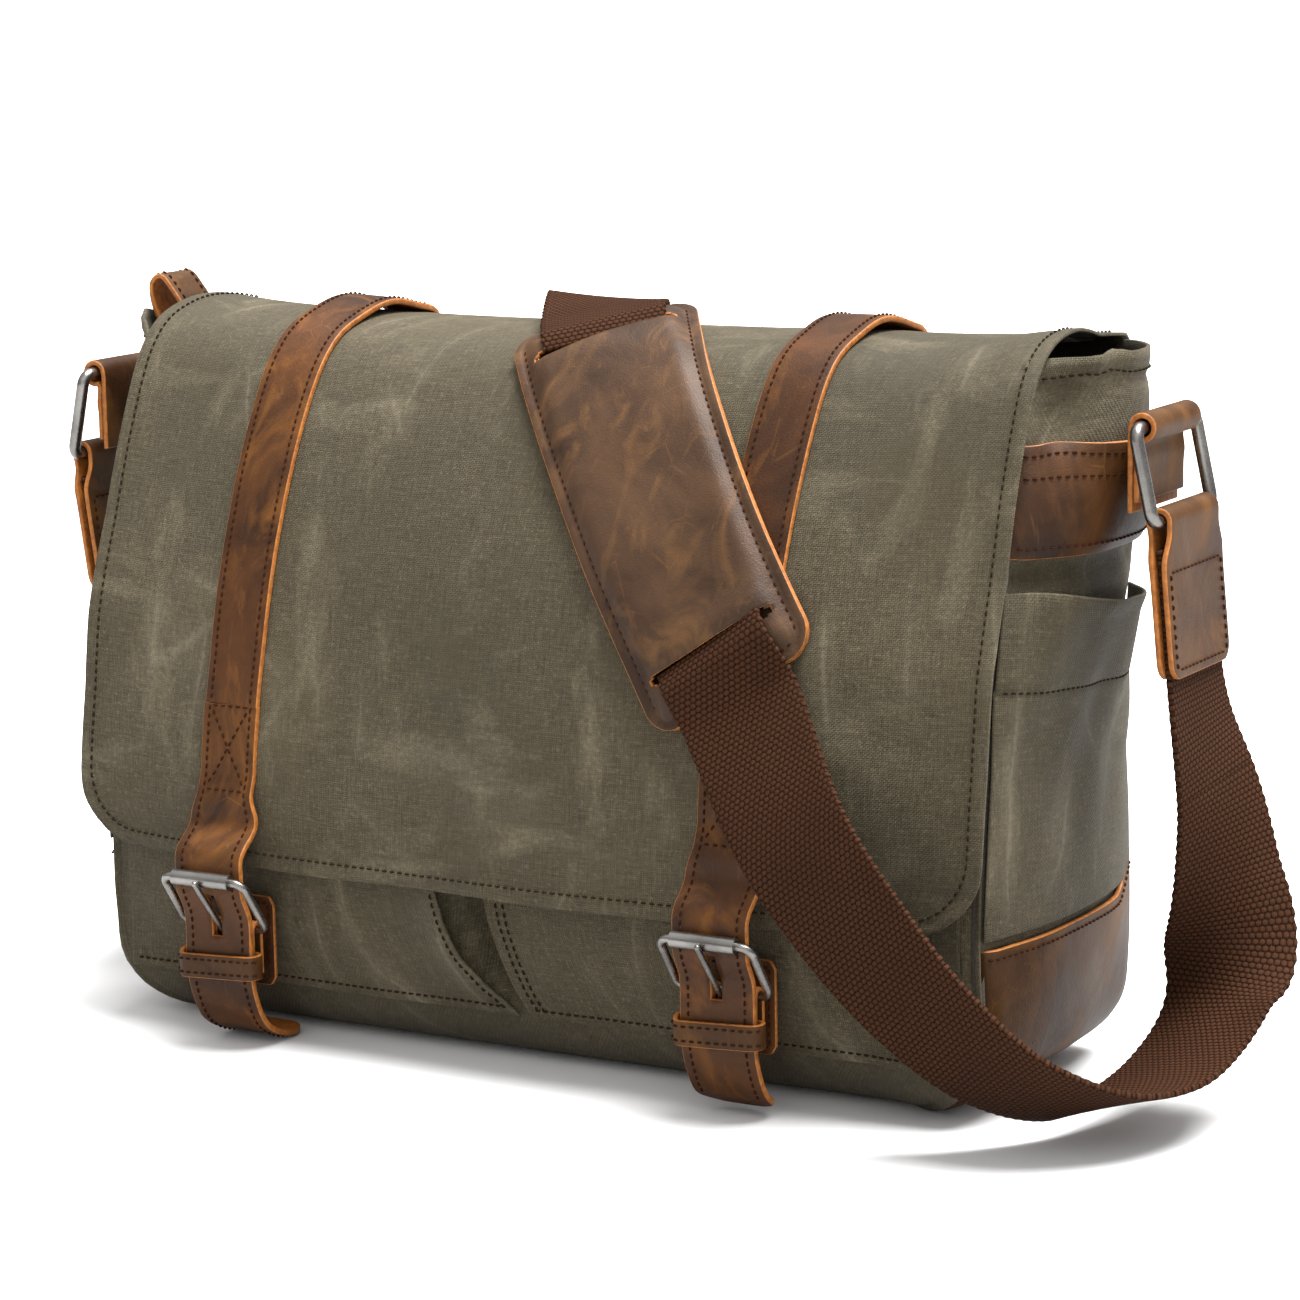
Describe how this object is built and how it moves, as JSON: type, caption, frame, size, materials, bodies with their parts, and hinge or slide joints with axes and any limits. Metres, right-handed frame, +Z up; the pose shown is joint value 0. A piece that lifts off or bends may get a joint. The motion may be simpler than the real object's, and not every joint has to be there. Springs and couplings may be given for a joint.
{
  "type": "messenger bag",
  "caption": "Waxed canvas messenger bag with leather trim, fold-over flap with buckled snap straps, patch and slip pockets, and a padded shoulder strap on side rings.",
  "frame": {"origin": "middle of the flat bottom panel, on the floor the bag stands on", "axes": "+X to the right as the front is faced (along the width), +Y from front to back, +Z up"},
  "size_m": [0.5532, 0.2197, 0.31],
  "materials": {
    "canvas": "waxed olive canvas with pale crease lines",
    "lining_cloth": "plain brown cotton",
    "board": "stiff base board",
    "webbing": "dark brown cotton webbing, basket weave",
    "hardware": "brushed nickel",
    "leather": "oiled brown leather with lighter cut edges"
  },
  "bodies": {
    "bag_body": {"back_panel": "canvas", "base_board": "board", "bottom_panel": "canvas", "divider_tab": "leather", "flap_seam_band": "canvas", "front_panel": "canvas", "hanging_loop": "leather", "laptop_divider": "lining_cloth", "left_corner_guard": "leather", "left_front_pocket": "canvas", "left_gusset": "canvas", "left_ring_chape": "leather", "left_side_band": "leather", "left_side_pocket": "canvas", "left_snap_patch": "leather", "left_snap_socket": "hardware", "left_strap_anchor": "leather", "lining": "lining_cloth", "right_corner_guard": "leather", "right_front_pocket": "canvas", "right_gusset": "canvas", "right_ring_chape": "leather", "right_side_band": "leather", "right_side_pocket": "canvas", "right_snap_patch": "leather", "right_snap_socket": "hardware", "right_strap_anchor": "leather", "webbing_back": "webbing", "webbing_front": "webbing"},
    "left_ring_body": {"left_ring": "hardware"},
    "right_ring_body": {"right_ring": "hardware"},
    "left_tab_body": {"left_strap_tab": "leather"},
    "right_tab_body": {"right_strap_tab": "leather"},
    "left_closure": {"left_strap_tongue": "leather", "left_buckle_frame": "hardware", "left_buckle_chape": "leather", "left_keeper": "leather", "left_snap_stud": "hardware"},
    "left_roller": {"left_buckle_roller": "hardware"},
    "left_prong": {"left_buckle_prong": "hardware"},
    "right_closure": {"right_strap_tongue": "leather", "right_buckle_frame": "hardware", "right_buckle_chape": "leather", "right_keeper": "leather", "right_snap_stud": "hardware"},
    "right_roller": {"right_buckle_roller": "hardware"},
    "right_prong": {"right_buckle_prong": "hardware"},
    "flap": {"flap_lining": "lining_cloth", "flap_shell": "canvas", "left_flap_strap": "leather", "right_flap_strap": "leather", "shoulder_pad_back": "leather", "shoulder_pad_face": "leather", "webbing_middle": "webbing"},
    "slider_body": {"slider": "hardware"}
  },
  "joints": [
    {"name": "flap_open", "type": "hinge", "parent": "bag_body", "child": "flap", "pos_m": [0, 0.053, 0.289], "axis": [-1, 0, 0], "range_deg": [0, 110], "deforming": ["webbing_front", "webbing_back"]},
    {"name": "left_closure_lift", "type": "hinge", "parent": "flap", "child": "left_closure", "pos_m": [-0.126, -0.09364, 0.103], "axis": [-1, 0, 0], "range_deg": [0, 80]},
    {"name": "left_roller_spin", "type": "hinge", "parent": "left_closure", "child": "left_roller", "pos_m": [-0.126, -0.11095, 0.07285], "axis": [1, 0, 0], "continuous": true},
    {"name": "left_prong_lift", "type": "hinge", "parent": "left_closure", "child": "left_prong", "pos_m": [-0.126, -0.09495, 0.05], "axis": [1, 0, 0], "range_deg": [0, 15]},
    {"name": "right_closure_lift", "type": "hinge", "parent": "flap", "child": "right_closure", "pos_m": [0.104, -0.0946, 0.103], "axis": [-1, 0, 0], "range_deg": [0, 80], "deforming": ["webbing_front"]},
    {"name": "right_roller_spin", "type": "hinge", "parent": "right_closure", "child": "right_roller", "pos_m": [0.104, -0.11095, 0.07285], "axis": [1, 0, 0], "continuous": true},
    {"name": "right_prong_lift", "type": "hinge", "parent": "right_closure", "child": "right_prong", "pos_m": [0.104, -0.09495, 0.05], "axis": [1, 0, 0], "range_deg": [0, 15]},
    {"name": "left_ring_swing", "type": "hinge", "parent": "bag_body", "child": "left_ring_body", "pos_m": [-0.2405, 0.003, 0.262], "axis": [0, 1, 0], "range_deg": [-4, 45], "deforming": ["webbing_back"]},
    {"name": "left_tab_swing", "type": "hinge", "parent": "left_ring_body", "child": "left_tab_body", "pos_m": [-0.24782, 0.003, 0.22757], "axis": [0, 1, 0], "range_deg": [-8, 25], "deforming": ["webbing_back"]},
    {"name": "right_ring_swing", "type": "hinge", "parent": "bag_body", "child": "right_ring_body", "pos_m": [0.2405, 0.003, 0.262], "axis": [0, -1, 0], "range_deg": [-4, 45], "deforming": ["webbing_front"]},
    {"name": "right_tab_swing", "type": "hinge", "parent": "right_ring_body", "child": "right_tab_body", "pos_m": [0.24782, 0.003, 0.22757], "axis": [0, -1, 0], "range_deg": [-8, 25], "deforming": ["webbing_front"]},
    {"name": "slider_travel", "type": "slide", "parent": "bag_body", "child": "slider_body", "axis": [0.6526, -0.0018, 0.7577], "range_m": [-0.012, 0.012], "deforming": ["webbing_back"]}
  ]
}
